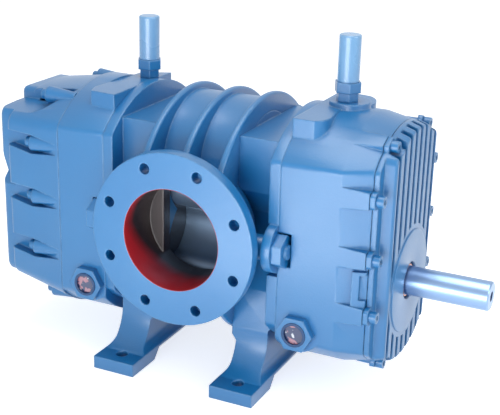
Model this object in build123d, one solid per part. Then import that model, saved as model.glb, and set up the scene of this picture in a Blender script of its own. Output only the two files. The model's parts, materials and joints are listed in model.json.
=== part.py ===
from build123d import *
import math
import os

os.makedirs("parts", exist_ok=True)

# Roots vacuum pump. X runs along the shafts towards the drive end, the front port faces -Y,
# Z is up and z = 0 is the plane of the feet. All sizes are in millimetres.

# ---------------------------------------------------------------- shafts and rotors
PORT_Z = 259.0              # height of the port axis above the feet
CENTRES = 148.0             # distance between the drive shaft and the driven shaft
LOBES = 3                   # lobes on each rotor
PROFILE_GAP = 0.35          # each rotor profile is offset inwards by this much
TIP_GAP = 0.5               # rotor tip to casing bore
END_GAP = 0.3               # rotor end face to head plate
FIT = 0.03                  # radial clearance of a shaft in a bore
RUN = 0.3                   # clearance between faces that pass each other
BOLT_FIT = 0.1              # radial clearance of a screw in its hole
OVER = 1.0                  # cutting tools run past a face, and joined solids into each other, by this

ROTOR_SEAT_R = 30.0         # shaft radius inside the rotor
SEAL_SEAT_R = 29.0          # shaft radius under the labyrinth rings
BEARING_SEAT_R = 27.5       # shaft radius inside the bearings
GEAR_SEAT_R = 25.0          # shaft radius inside the timing gears
SEAL_JOURNAL_R = 24.6       # drive shaft radius under the wear sleeve
EXTENSION_R = 24.0          # radius of the free drive shaft end
EXTENSION_END = 467.0       # x of the free shaft end
DRIVEN_TAIL_R = 23.0        # drive end of the driven shaft
ROTOR_SEAT_END = 92.0       # x at which the rotor seat steps down
SHAFT_CHAMFER = 2.0
CENTRE_BORE_R = 8.5         # centre hole in the free shaft end
CENTRE_BORE_DEEP = 28.0

# ---------------------------------------------------------------- rotor casing
CASING_HALF = 73.0          # half length of the rotor casing
CASING_WALL = 20.0          # wall round the rotor bore
RIB_R = 203.0               # cooling ribs, concentric with the port axis
RIB_THICK = 11.0
PORT_FACE = 202.0           # port flange face from the shaft plane
PORT_FLANGE_R = 142.5
PORT_FLANGE_THICK = 21.0
PORT_BORE_R = 84.0
PORT_NECK_WALL = 22.0
PORT_FLOOR = 120.0          # depth at which the round port meets the rotor window
WINDOW_HALF = 58.0          # half width of the rotor window along the shafts
RIB_ROUND = 4.0
SPIGOT = 11.0               # the head plate enters the casing bore by this much
PORT_PCD = 240.0
PORT_BOLTS = 8
PORT_BOLT_HOLE_R = 9.0
PORT_BOLT_DEEP = 32.0

# ---------------------------------------------------------------- head plates and feet
BOX_FRONT = 110.0           # front face of the head plate box
BOX_TOP = 418.0
BOX_LOW = 330.0             # lower edge of the flat front face
WAIST_FRONT = 90.0          # the face sinks back between box and foot
WAIST_TOP = 292.0
WAIST_LOW = 208.0
HEAD_WALL = 15.0
HEAD_INNER = 22.0           # wall between the rotors and the head plate cavity
HOLLOW_FLOOR = 110.0        # floor of the head plate cavity
SEAL_TUBE_R = 47.0
SEAL_TUBE_BORE_R = 39.0
SHAFT_HOLE_GAP = 0.5        # shaft to the hole in the rotor side wall
SHAFT_PASS_GAP = 2.0        # shaft to the hole in the housing wall
JOINT_X = 159.0             # joint between head plate and side housing
FLANGE_THICK = 18.0
FLANGE_R = 197.0
FLANGE_HALF = 142.6
FOOT_IN = 71.5              # inner edge of the feet
FOOT_WIDE = 76.0
FOOT_FRONT = 200.5
FOOT_THICK = 21.9
FOOT_BACK = 128.0           # rear end of the foot sole
SKIRT_Z = 18.0              # underside of the skirt between the feet
SKIRT_SLOPE = 17.0          # run of the slope from the foot sole up to the skirt
LEG_FRONT = 122.0           # front of the leg where it joins the box
LEG_TOP_Z = 96.0
LEG_BEND_Z = 163.0          # lower edge of the sloped front face
LEG_SWEEP = 13.0            # the front of the leg sweeps out by this much
LEG_SWEEP_Z = 48.0
FOOT_LEDGE = 36.0           # flat top of the foot in front of the leg
LEG_NARROW = 10.0           # the leg is this much narrower each side than the foot
ANKLE_TALL = 22.0           # height of the hollow curve from foot to leg
ANKLE_BEND = 8.0
ANKLE_HOLLOW = 3.0
SHOULDER_IN_Z = 72.0        # heights at which the leg widens into the box
SHOULDER_BOX_Z = 82.0
SHOULDER_Z = 100.0
SHOULDER_OUT_Z = 120.0
FOOT_HOLE_X = 109.5
FOOT_HOLE_Y = 172.0
FOOT_HOLE_R = 10.0

# ---------------------------------------------------------------- side housings
HOUSING_GEAR_END = 248.0    # joint of gear housing and gear cover
HOUSING_DRIVE_BEND = 258.0
HOUSING_DRIVE_END = 303.0
TAPER_DROP = 16.0           # the drive housing tapers inwards this much to its joint, front and back
CROWN_DROP = 9.0            # and this much at the top
SUMP_DROP = 20.0            # the lower half of both housings is let down by this much
HOUSING_WALL = 12.0
BULKHEAD = 44.0             # wall that carries the bearings
CORNER_ROUND = 12.0
TAPER_ROUND = 8.0
BOSS_TALL = 34.0            # height of a screw boss at the bend, and at the joint
BOSS_END_TALL = 27.0
RIDGE = (282.0, 166.0, 241.0)        # C-shaped ridge beside the lower screws: x, lowest z, highest z
RIDGE_HOLLOW = (293.0, 194.0, 235.0)
RIDGE_PROUD = 7.0
GEAR_PAD_UNDER = 3.0        # gear end breather boss, below the crown of the flanges
DRIVE_PAD_OVER = 1.0        # drive end breather boss, above it
PAD_DEEP = 56.0
GEAR_PAD = ((-JOINT_X, -106.0), (-207.0, -101.0), (-216.0, -74.0), (-205.0, 60.0), (-JOINT_X, 85.0))
DRIVE_PAD = ((194.0, -103.0), (207.0, -88.0), (207.0, -55.0), (204.0, -20.0), (216.0, 14.0),
             (236.0, 40.0), (234.0, 66.0), (214.0, 92.0))
DRIVE_PAD_BACK = 101.0
PAD_CUT = 20.0              # room cleared above a breather boss
PLATFORM = (206.0, 18.0, 34.0)       # round platform of the drive end breather: x, y, radius
PLATFORM_TALL = 8.0

# ---------------------------------------------------------------- gear cover and drive cover
GEAR_COVER_BODY = 352.0
GEAR_COVER_END = 380.0
GEAR_ROOM = 5.0             # room round the timing gears inside the cover
GEAR_COVER_LIFT = 12.0      # the lower edge of the cover rises to this much above the round
CORE_HALF = 124.6           # core of the gear cover, inside its raised pads
CORE_TOP = 413.0
CORE_LOW = 112.0
CORE_ROUND = 20.0
CORE_MID_HALF = 59.0
CORE_MID_TOP = 430.0
CORE_MID_LOW = 88.0
CORE_MID_ROUND = 10.0
NOTCH = ((-126.0, 346.0), (-106.0, 288.0), (-126.0, 269.0))
GEAR_COVER_STEP = 1.0       # gear cover inside the edge of its housing
END_ROUND = 7.0
COVER_FLANGE_THICK = 8.0
PAN_DEEP = 18.0             # depth of the finned pan of the drive cover
PAN_INSET = 20.0            # pan inside the edge of its flange, front and back
PAN_DRAFT = 6.0
PAN_ROUND = 5.0
FIN_TALL = 9.0
FIN_GAP = 11.5
FIN_PITCH = 25.3
FINS = 7
BOSS_R = 94.0
BOSS_RECESS_R = 31.0
BOSS_RECESS_DEEP = 5.0

# ---------------------------------------------------------------- cover screws
SCREW_R = 6.0
SCREW_HEAD_R = 9.0
SCREW_HEAD_TALL = 12.0
SCREW_BOSS_R = 14.0
SCREW_ROWS = (169.0, 262.0, 357.0)
SCREW_Y = 131.0
SCREW_TOP_Y = 80.0          # screws above and below, on the round edge
SCREW_EDGE = 27.0           # their distance inside the crown of the flanges
SCREW_GRIP = 24.0           # length of thread in the housing
SCREW_SPARE = 2.0           # hole depth past the end of a screw
SOCKET_R = 4.8
SOCKET_DEEP = 6.0
HEAD_SUNK = 1.0             # inner screw heads lie this far below their joint face
SPOT_FACE_GAP = 3.0
GEAR_SCREW_HEAD_X = 305.0
POCKET_NARROW = 9.0         # half height of a screw pocket at its outer end
POCKET_TOP = 16.0           # and above and below the screw head
POCKET_LOW = 20.0
POCKET_CLOSE = 6.0
POCKET_DEEP = 12.0          # floor of the pocket inside the screw axis, at the head
POCKET_REACH = 30.0
POCKET_RUN_OUT = 5.0        # the pocket ends this far short of the joint

# ---------------------------------------------------------------- bearings, gears, fittings
BEARING_R = 50.0
BEARING_RING = 6.0
CAGE_SET_IN = 5.0
SHOULDER_SPARE = 2.0        # bearing seat past the retainer
BEARING_X = 168.0
RETAINER_R = 60.0
RETAINER_BORE_R = 41.0
RETAINER_THICK = 6.0
GEAR_TEETH = 37
GEAR_BACKLASH = 0.5
GEAR_ADDENDUM = 0.9         # in modules
GEAR_DEDENDUM = 1.25
GEAR_WIDE = 40.0
GEAR_X = 258.0
PRESSURE_ANGLE = math.radians(20)
NUT_WIDE = 13.0
NUT_R = 36.0
SPACER_R = 33.0
SLINGER_R = 68.0
SLINGER_THICK = 4.0
SHAFT_TAIL = 318.0          # gear end of both shafts
DRIVEN_END = 252.0          # drive end of the driven shaft
LOCK_NUT_X = 230.0
SEAL_R = 29.6               # bore of the shaft seal in the drive cover
SEAL_SET_IN = 2.0
SLEEVE_R = 26.6             # wear sleeve on the drive shaft
BREATHER_R = 17.7
BREATHER_PIPE_R = 11.0
BREATHER_PIPE_LONG = 20.0
GEAR_BREATHER = (-176.0, 38.0)
DRIVE_BREATHER = (203.0, 12.0)
BREATHER_CAP_TALL = 75.0
CAP_ROUND = 2.5
BREATHER_NUT_FLAT = 38.5
BREATHER_NUT_TALL = 17.0
BREATHER_ADAPTER_FLAT = 32.0
BREATHER_ADAPTER_TALL = 15.0
GLASS_FLAT = 54.0
GLASS_TALL = 13.0
GLASS_R = 17.5
GLASS_THREAD_R = 21.0
GLASS_THREAD_LONG = 24.0
LENS_THICK = 5.0
LENS_SUNK = 2.5
LENS_SEAT_DEEP = 4.0
BLIND_SPARE = 3.0           # hole depth past the end of a threaded fitting
GEAR_GLASS = (-192.0, 127.0)
DRIVE_GLASS = (196.0, 121.0)
LUG_Y = 147.0               # tie bolts at port height
LUG_Z = 255.0
LUG_PLATE_R = 40.0
LUG_PLATE_IN = 10.0         # the lug plate is centred this far inside its bolt
LUG_PLATE_STEP = 3.0
LUG_BOSS_R = 20.0
LUG_BOSS_LONG = 22.0
LUG_RECESS_R = 28.3
LUG_RECESS_SPARE = 5.0
LUG_NOTCH = (208.0, 294.0)  # the head plate flange is cut back between these heights
LUG_NOTCH_DEEP = 12.0
LUG_BOLT_R = 12.0
LUG_NUT_FLAT = 48.0
LUG_NUT_TALL = 17.0
STUD_OUT = 4.0
STUD_SHORT = 2.0
TIE_ANGLE = math.radians(35)         # long screws from head plate to casing, seen from the nearer shaft
TIE_BOSS_R = 13.0
TIE_GRIP = 24.0
LABYRINTH_X = 104.0
LABYRINTH_WIDE = 22.0
GLASS_BOSS_R = 43.0
GLASS_BOSS_UP = 9.0
GLASS_BOSS_DEEP = 60.0
PLUG_FLAT = 24.0
PLUG_TALL = 9.0
PLUG_THREAD_R = 9.0
PLUG_THREAD_LONG = 20.0
PLUG_X = 190.0
PLUG_Z = 118.0
HOUSING_SCREW_Y = 86.0      # screws from inside each housing into the head plate
HOUSING_SCREW_UP = 95.0
HOUSING_SCREW_STOP = 2.0    # their holes stop this far inside the head plate flange
GASKET = 1.0
GASKET_WIDE = 20.0
GEAR_GASKET_SET_IN = 3.0
DRIVE_GASKET_SET_IN = 4.0

# ---------------------------------------------------------------- worked out from the above
DRIVE_Z = PORT_Z - CENTRES / 2
DRIVEN_Z = PORT_Z + CENTRES / 2
SHAFTS = (DRIVE_Z, DRIVEN_Z)
PITCH_R = CENTRES / 2
ROLL_R = PITCH_R / (2 * LOBES)
ROTOR_R = PITCH_R + 2 * ROLL_R - PROFILE_GAP
BORE_R = ROTOR_R + TIP_GAP
BODY_R = BORE_R + CASING_WALL
SCREW_TOP_UP = FLANGE_R - SCREW_EDGE
GEAR_PAD_TOP = PORT_Z + FLANGE_R - GEAR_PAD_UNDER
DRIVE_PAD_TOP = PORT_Z + FLANGE_R + DRIVE_PAD_OVER
PAD_BASE = PORT_Z + FLANGE_R - PAD_DEEP
GEAR_TIP_R = PITCH_R * (1 + 2 * GEAR_ADDENDUM / GEAR_TEETH)
GEAR_ROOM_R = PITCH_R + GEAR_TIP_R + GEAR_ROOM
GEAR_ROOM_HALF = GEAR_TIP_R + 4 * GEAR_ROOM
FLANGE_X = JOINT_X - FLANGE_THICK
BEARING_WIDE = JOINT_X + BULKHEAD - BEARING_X
BEARING_SHOULDER = BEARING_X + BEARING_WIDE + RETAINER_THICK + SHOULDER_SPARE
HOUSING_SCREWS = [(y, PORT_Z + up) for y in (-HOUSING_SCREW_Y, HOUSING_SCREW_Y)
                  for up in (-HOUSING_SCREW_UP, HOUSING_SCREW_UP)]
COVER_FACE = HOUSING_DRIVE_END + GASKET + COVER_FLANGE_THICK
COVER_TIP = COVER_FACE + PAN_DEEP
COVER_R = FLANGE_R - CROWN_DROP
COVER_HALF = FLANGE_HALF - TAPER_DROP
TIE_R = BORE_R + CASING_WALL / 2
TIES = [(side * TIE_R * math.cos(TIE_ANGLE), z + up * TIE_R * math.sin(TIE_ANGLE))
        for side in (-1, 1) for z, up in ((DRIVE_Z, -1), (DRIVEN_Z, 1))]
SCREW_SPOTS = [(y, z) for y in (-SCREW_Y, SCREW_Y) for z in SCREW_ROWS]
SCREW_SPOTS += [(y, z) for y in (-SCREW_TOP_Y, SCREW_TOP_Y)
                for z in (PORT_Z - SUMP_DROP - SCREW_TOP_UP, PORT_Z + SCREW_TOP_UP)]


# ---------------------------------------------------------------- small helpers
def rod_x(y, z, radius, x0, x1):
    """Cylinder along X from x0 to x1."""
    return Pos((x0 + x1) / 2, y, z) * Rot(0, 90, 0) * Cylinder(radius, abs(x1 - x0))


def rod_y(x, z, radius, y0, y1):
    """Cylinder along Y from y0 to y1."""
    return Pos(x, (y0 + y1) / 2, z) * Rot(90, 0, 0) * Cylinder(radius, abs(y1 - y0))


def rod_z(x, y, radius, z0, z1):
    """Cylinder along Z from z0 to z1."""
    return Pos(x, y, (z0 + z1) / 2) * Cylinder(radius, abs(z1 - z0))


def hex_z(x, y, flat, z0, z1):
    """Upright hexagon prism, given across its flats."""
    return Pos(x, y, z0) * extrude(RegularPolygon(flat / 2, 6, major_radius=False), z1 - z0)


def hex_y(x, z, flat, y0, y1):
    """Hexagon prism along Y, given across its flats."""
    prism = extrude(RegularPolygon(flat / 2, 6, major_radius=False), abs(y1 - y0))
    return Pos(x, max(y0, y1), z) * Rot(90, 0, 0) * prism


def ring_x(z, outer, inner, x0, x1):
    """Ring about a shaft axis."""
    x0, x1 = sorted((x0, x1))
    return rod_x(0, z, outer, x0, x1) - rod_x(0, z, inner, x0 - OVER, x1 + OVER)


def block(x0, x1, y0, y1, z0, z1):
    """Box between two corners."""
    size = Box(abs(x1 - x0), abs(y1 - y0), abs(z1 - z0))
    return Pos((x0 + x1) / 2, (y0 + y1) / 2, (z0 + z1) / 2) * size


def prism_x(outline, x0, x1):
    """Face drawn in Y and Z, extruded from x0 to x1."""
    return extrude(Plane.YZ.offset(min(x0, x1)) * outline, abs(x1 - x0))


def barrel(radius, half, x0, x1):
    """Round slab about the port axis, cut flat at front and back."""
    outline = Circle(radius) & Rectangle(2 * half, 2 * radius + OVER)
    return prism_x(Pos(0, PORT_Z) * outline, x0, x1)


def round_outline(radius, half, drop=0.0, corner=CORNER_ROUND):
    """Outline like that of barrel, with its lower half let down by drop and its corners rounded."""
    rise = math.sqrt(radius ** 2 - half ** 2)
    top, low = PORT_Z + rise, PORT_Z - rise - drop
    with BuildSketch() as sketch:
        with BuildLine():
            ThreePointArc((-half, top), (0, PORT_Z + radius), (half, top))
            Line((half, top), (half, low))
            ThreePointArc((half, low), (0, PORT_Z - radius - drop), (-half, low))
            Line((-half, low), (-half, top))
        make_face()
        fillet(sketch.vertices(), corner)
    return sketch.sketch


def loft_x(outline0, outline1, x0, x1):
    """Solid between two outlines drawn in Y and Z, at x0 and x1."""
    return loft([Plane.YZ.offset(x0) * outline0, Plane.YZ.offset(x1) * outline1], ruled=True)


def round_end(body, x, radius):
    """Rounds the outer edges of the end face at x."""
    edges = body.edges().filter_by(lambda edge: abs(edge.center().X - x) < FIT)
    return fillet(edges, radius)


def stadium(radius, x0, x1):
    """The two rotor bores and the straight walls that join them."""
    outline = SlotCenterToCenter(CENTRES, 2 * radius)
    return prism_x(Pos(0, PORT_Z) * Rot(0, 0, 90) * outline, x0, x1)


def about_centre(solid):
    """The mirror copy on the other side of the plane x = 0."""
    return mirror(solid, about=Plane.YZ)


def both_faces(solid):
    """A feature on the front together with its copy on the back."""
    return solid + mirror(solid, about=Plane.XZ)


def save(node, *solids):
    """Writes one node as a STEP file."""
    shape = solids[0] if len(solids) == 1 else Compound(children=list(solids))
    shape.label = node
    export_step(shape, os.path.join("parts", node + ".step"))


# ---------------------------------------------------------------- rotors
def cycloid(angle, sign):
    """Point of the lobe (sign 1) or the root (sign -1) of a cycloidal rotor, and its contact point."""
    rolled = PITCH_R + sign * ROLL_R
    turned = rolled / ROLL_R * angle
    y = rolled * math.cos(angle) - sign * ROLL_R * math.cos(turned)
    z = rolled * math.sin(angle) - ROLL_R * math.sin(turned)
    return (y, z), (PITCH_R * math.cos(angle), PITCH_R * math.sin(angle))


def rotor_outline():
    """Closed rotor outline with one lobe straight up, offset inwards by the profile gap."""
    arc = math.pi / LOBES
    steps = 8
    points = []
    for part in range(2 * LOBES):
        sign = 1 if part % 2 == 0 else -1
        for step in range(1, steps):
            (y, z), (cy, cz) = cycloid(arc * step / steps, sign)
            reach = math.hypot(y - cy, z - cz)
            y -= sign * PROFILE_GAP * (y - cy) / reach
            z -= sign * PROFILE_GAP * (z - cz) / reach
            turn = math.pi / 2 - arc / 2 + part * arc
            points.append((y * math.cos(turn) - z * math.sin(turn),
                           y * math.sin(turn) + z * math.cos(turn)))
    return make_face(Spline(*points, periodic=True))


def rotor(z):
    """Lobed rotor with its hub bored for the shaft."""
    half = CASING_HALF - SPIGOT - END_GAP
    body = prism_x(Pos(0, z) * rotor_outline(), -half, half)
    return body - rod_x(0, z, ROTOR_SEAT_R + FIT, -half - OVER, half + OVER)


# ---------------------------------------------------------------- rotor casing
def port_holes(y_face, inward):
    """Tapped holes of one port flange."""
    holes = []
    for k in range(PORT_BOLTS):
        turn = 2 * math.pi * (k + 0.5) / PORT_BOLTS
        x = PORT_PCD / 2 * math.cos(turn)
        z = PORT_Z + PORT_PCD / 2 * math.sin(turn)
        holes.append(rod_y(x, z, PORT_BOLT_HOLE_R, y_face - inward, y_face + inward * PORT_BOLT_DEEP))
    return holes


def port_passage():
    """Round port, with flat sides past its floor where it meets the rotors."""
    window = rod_y(0, PORT_Z, PORT_BORE_R, -PORT_FACE - OVER, OVER)
    window &= block(-WINDOW_HALF, WINDOW_HALF, -PORT_FACE - 2 * OVER, 2 * OVER, 0, 2 * PORT_Z)
    return window + rod_y(0, PORT_Z, PORT_BORE_R, -PORT_FACE - OVER, -PORT_FLOOR)


def casing_rib(x):
    """Round rib about the port axis with rounded edges."""
    rib = barrel(RIB_R, PORT_FACE - PORT_FLANGE_THICK / 2, x - RIB_THICK / 2, x + RIB_THICK / 2)
    return fillet(rib.edges().filter_by(GeomType.CIRCLE), RIB_ROUND)


def rotor_casing():
    """Stadium body with three round ribs and a flanged port at front and back."""
    body = stadium(BODY_R, -CASING_HALF, CASING_HALF)
    for x in (-CASING_HALF + RIB_THICK / 2, 0, CASING_HALF - RIB_THICK / 2):
        body += casing_rib(x)
    neck_r = PORT_BORE_R + PORT_NECK_WALL
    neck = rod_y(0, PORT_Z, neck_r, -PORT_FACE + OVER, -BOX_FRONT - RUN)
    neck += rod_y(0, PORT_Z, PORT_FLANGE_R, -PORT_FACE, -PORT_FACE + PORT_FLANGE_THICK)
    body += both_faces(neck)
    body += both_faces(block(-CASING_HALF, CASING_HALF, -BOX_FRONT - OVER, 0,
                             PORT_Z - neck_r, PORT_Z + neck_r))
    body -= both_faces(port_passage())
    for y, z in TIES:
        body -= rod_x(y, z, SCREW_R + BOLT_FIT, -CASING_HALF + TIE_GRIP, -CASING_HALF - OVER)
        body -= rod_x(y, z, SCREW_R + BOLT_FIT, CASING_HALF - TIE_GRIP, CASING_HALF + OVER)
    body -= stadium(BORE_R, -CASING_HALF - OVER, CASING_HALF + OVER)
    for face, inward in ((-PORT_FACE, 1), (PORT_FACE, -1)):
        for hole in port_holes(face, inward):
            body -= hole
    return body


# ---------------------------------------------------------------- head plates
def head_outline():
    """Half outline of the head plate seen along the shafts, front side only."""
    neck_back = -LEG_FRONT
    with BuildSketch() as sketch:
        with BuildLine():
            Polyline((0, BOX_TOP), (-BOX_FRONT, BOX_TOP), (-BOX_FRONT, BOX_LOW),
                     (-WAIST_FRONT, WAIST_TOP), (-WAIST_FRONT, WAIST_LOW),
                     (-BOX_FRONT, LEG_BEND_Z), (neck_back, LEG_TOP_Z))
            foot_top = (-FOOT_FRONT + FOOT_LEDGE, FOOT_THICK)
            ThreePointArc((neck_back, LEG_TOP_Z), (neck_back - LEG_SWEEP, LEG_SWEEP_Z), foot_top)
            Polyline(foot_top, (-FOOT_FRONT, FOOT_THICK), (-FOOT_FRONT, 0), (-FOOT_BACK, 0),
                     (-FOOT_BACK + SKIRT_SLOPE, SKIRT_Z), (0, SKIRT_Z), (0, BOX_TOP))
        make_face()
    return sketch.sketch


def leg_limits():
    """Shape of the head plate seen from the front: wide foot, narrower leg, box above."""
    left, right = FOOT_IN, FOOT_IN + FOOT_WIDE
    leg_left, leg_right = left + LEG_NARROW, right - LEG_NARROW
    ankle, bend = FOOT_THICK + ANKLE_TALL, FOOT_THICK + ANKLE_BEND
    with BuildSketch() as sketch:
        with BuildLine():
            Polyline((left, -OVER), (right, -OVER), (right, FOOT_THICK))
            ThreePointArc((right, FOOT_THICK), (leg_right + ANKLE_HOLLOW, bend), (leg_right, ankle))
            Polyline((leg_right, ankle), (leg_right, SHOULDER_Z), (JOINT_X, SHOULDER_OUT_Z),
                     (JOINT_X, BOX_TOP + OVER), (CASING_HALF, BOX_TOP + OVER), (CASING_HALF, SHOULDER_BOX_Z),
                     (leg_left, SHOULDER_IN_Z), (leg_left, ankle))
            ThreePointArc((leg_left, ankle), (leg_left - ANKLE_HOLLOW, bend), (left, FOOT_THICK))
            Line((left, FOOT_THICK), (left, -OVER))
        make_face()
    return sketch.sketch


def head_plate():
    """Head plate of the drive end: box, waist, feet, end flange and seal tubes."""
    side = prism_x(head_outline(), 0, JOINT_X)
    body = side + mirror(side, about=Plane.XZ)
    front = extrude(Plane.XZ * leg_limits(), FOOT_FRONT + OVER, both=True)
    body = body & front
    flange = prism_x(round_outline(FLANGE_R, FLANGE_HALF), FLANGE_X, JOINT_X)
    flange -= both_faces(block(FLANGE_X - OVER, JOINT_X + OVER, -FLANGE_HALF - OVER,
                               -FLANGE_HALF + LUG_NOTCH_DEEP, *LUG_NOTCH))
    hollow = block(CASING_HALF + HEAD_INNER, JOINT_X + OVER, -WAIST_FRONT + HEAD_WALL,
                   WAIST_FRONT - HEAD_WALL, HOLLOW_FLOOR, BOX_TOP - HEAD_WALL)
    body = body + flange - hollow + stadium(BORE_R - FIT, CASING_HALF - SPIGOT, CASING_HALF)
    body += both_faces(rod_x(-LUG_Y, LUG_Z, LUG_BOSS_R, FLANGE_X - LUG_BOSS_LONG, FLANGE_X + OVER))
    body += both_faces(rod_x(-LUG_Y + LUG_PLATE_IN, LUG_Z, LUG_PLATE_R, FLANGE_X + LUG_PLATE_STEP, JOINT_X))
    for z in SHAFTS:
        body += rod_x(0, z, SEAL_TUBE_R, CASING_HALF + OVER, JOINT_X)
        body -= rod_x(0, z, ROTOR_SEAT_R + SHAFT_HOLE_GAP,
                      CASING_HALF - SPIGOT - OVER, CASING_HALF + HEAD_INNER)
        body -= rod_x(0, z, SEAL_TUBE_BORE_R, CASING_HALF + HEAD_INNER, JOINT_X + OVER)
    for y in (-FOOT_HOLE_Y, FOOT_HOLE_Y):
        body -= rod_z(FOOT_HOLE_X, y, FOOT_HOLE_R, -1, FOOT_THICK + OVER)
    for y, z in TIES:
        body += rod_x(y, z, TIE_BOSS_R, CASING_HALF, JOINT_X - OVER)
        body -= rod_x(y, z, SCREW_R + BOLT_FIT, CASING_HALF - OVER, JOINT_X + OVER)
        body -= rod_x(y, z, SCREW_HEAD_R + RUN, JOINT_X - SCREW_HEAD_TALL - HEAD_SUNK, JOINT_X + OVER)
    for y, z in HOUSING_SCREWS:
        body -= rod_x(y, z, SCREW_R + BOLT_FIT, FLANGE_X + HOUSING_SCREW_STOP, JOINT_X + OVER)
    return cut_all(body, lug_holes(FLANGE_X - LUG_BOSS_LONG - OVER, JOINT_X + OVER))


def lug_holes(x0, x1):
    """Holes of the tie bolts at port height."""
    return [rod_x(y, LUG_Z, LUG_BOLT_R + BOLT_FIT, x0, x1) for y in (-LUG_Y, LUG_Y)]


# ---------------------------------------------------------------- side housings
def screw_rows(x0, x1, radius):
    """Cylinders along X at the cover screw positions."""
    return [rod_x(y, z, radius, x0, x1) for y, z in SCREW_SPOTS]


def cut_all(body, tools):
    """Cuts a list of tools from a body."""
    for tool in tools:
        body -= tool
    return body


def bearing_bores(body, sign):
    """Bearing seats and shaft holes in a housing bulkhead."""
    for z in SHAFTS:
        body -= rod_x(0, z, BEARING_R + FIT, sign * BEARING_X, sign * (JOINT_X + BULKHEAD + OVER))
        body -= rod_x(0, z, SEAL_SEAT_R + SHAFT_PASS_GAP,
                      sign * (JOINT_X - OVER), sign * (BEARING_X + OVER))
    for y, z in HOUSING_SCREWS:
        body -= rod_x(y, z, SCREW_R + BOLT_FIT, sign * (JOINT_X - OVER), sign * (JOINT_X + BULKHEAD + OVER))
    return body


def pad_outline(sign):
    """Plan of the breather boss: the gear end one is straight, the drive end one hollow at its side."""
    with BuildSketch() as sketch:
        with BuildLine():
            if sign < 0:
                Polyline(*GEAR_PAD, GEAR_PAD[0])
            else:
                Polyline((JOINT_X, DRIVE_PAD_BACK), (JOINT_X, DRIVE_PAD[0][1]), DRIVE_PAD[0])
                Spline(*DRIVE_PAD)
                Line(DRIVE_PAD[-1], (JOINT_X, DRIVE_PAD_BACK))
        make_face()
    return sketch.sketch


def breather_pad(body, sign):
    """Adds the flat-topped breather boss to a side housing and clears the room above it."""
    top = GEAR_PAD_TOP if sign < 0 else DRIVE_PAD_TOP
    body += extrude(Plane.XY.offset(PAD_BASE) * pad_outline(sign), top - PAD_BASE)
    if sign < 0:
        return body - extrude(Plane.XY.offset(top) * pad_outline(sign), PAD_CUT)
    x, y, radius = PLATFORM
    return body + rod_z(x, y, radius, PAD_BASE, top + PLATFORM_TALL)


def sump_boss(sign, x, z):
    """Bulge of the oil sump that carries the sight glass."""
    boss = rod_y(x, z + GLASS_BOSS_UP, GLASS_BOSS_R, -FLANGE_HALF - OVER, -FLANGE_HALF + GLASS_BOSS_DEEP)
    beyond = block(sign * JOINT_X, sign * HOUSING_GEAR_END, -FLANGE_HALF, 0, 0, PORT_Z)
    return boss & beyond


def breather_seat(sign):
    """Height of the face on which the breather adapter sits."""
    return GEAR_PAD_TOP if sign < 0 else DRIVE_PAD_TOP + PLATFORM_TALL


def side_fittings(body, sign, glass, breather):
    """Recesses and holes that both side housings share."""
    x, z = glass
    body -= rod_y(x, z, GLASS_THREAD_R + BOLT_FIT,
                  -FLANGE_HALF - OVER, -FLANGE_HALF + GLASS_THREAD_LONG + BLIND_SPARE)
    recess = JOINT_X + LUG_NUT_TALL + LUG_RECESS_SPARE
    for y in (-LUG_Y, LUG_Y):
        body -= rod_x(y, LUG_Z, LUG_RECESS_R, sign * (JOINT_X - OVER), sign * recess)
    seat = breather_seat(sign)
    body -= rod_z(*breather, BREATHER_PIPE_R + BOLT_FIT,
                  seat - BREATHER_PIPE_LONG - BLIND_SPARE, seat + OVER)
    plug_end = FLANGE_HALF - PLUG_THREAD_LONG - BLIND_SPARE
    body -= rod_y(sign * PLUG_X, PLUG_Z, PLUG_THREAD_R + BOLT_FIT, plug_end, FLANGE_HALF + OVER)
    return body


def gear_housing():
    """Bearing housing of the gear end."""
    body = prism_x(round_outline(FLANGE_R, FLANGE_HALF, SUMP_DROP), -JOINT_X, -HOUSING_GEAR_END)
    body = breather_pad(body + sump_boss(-1, *GEAR_GLASS), -1)
    inner = round_outline(FLANGE_R - 2 * HOUSING_WALL, FLANGE_HALF - 2 * HOUSING_WALL, SUMP_DROP)
    body -= prism_x(inner, -JOINT_X - BULKHEAD, -HOUSING_GEAR_END - OVER)
    body = side_fittings(bearing_bores(body, -1), -1, GEAR_GLASS, GEAR_BREATHER)
    deep = -HOUSING_GEAR_END + SCREW_GRIP + SCREW_SPARE
    return cut_all(body, screw_rows(deep, -HOUSING_GEAR_END - OVER, SCREW_R + BOLT_FIT))


def towards_axis(y, z):
    """Turn about X that brings the front (-Y) direction to face outwards at a cover screw."""
    if abs(y) == SCREW_Y:
        return 0 if y < 0 else 180
    centre = PORT_Z if z > PORT_Z else PORT_Z - SUMP_DROP
    return math.degrees(math.atan2(-(z - centre), -y))


def drive_screw_bosses():
    """Bosses of the drive cover screws: flush with the straight part of the housing, tapering in height."""
    bend, end = HOUSING_DRIVE_BEND, HOUSING_DRIVE_END
    tall, low = BOSS_TALL / 2, BOSS_END_TALL / 2
    side = make_face(Polyline((bend - OVER, tall), (end, low), (end, -low), (bend - OVER, -tall),
                              (bend - OVER, tall)))
    boss = extrude(Plane.XZ * side, POCKET_REACH, both=True)
    limit = prism_x(round_outline(FLANGE_R, FLANGE_HALF, SUMP_DROP), bend - 2 * OVER, end)
    return [Pos(0, y, z) * Rot(towards_axis(y, z), 0, 0) * boss & limit for y, z in SCREW_SPOTS]


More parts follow.
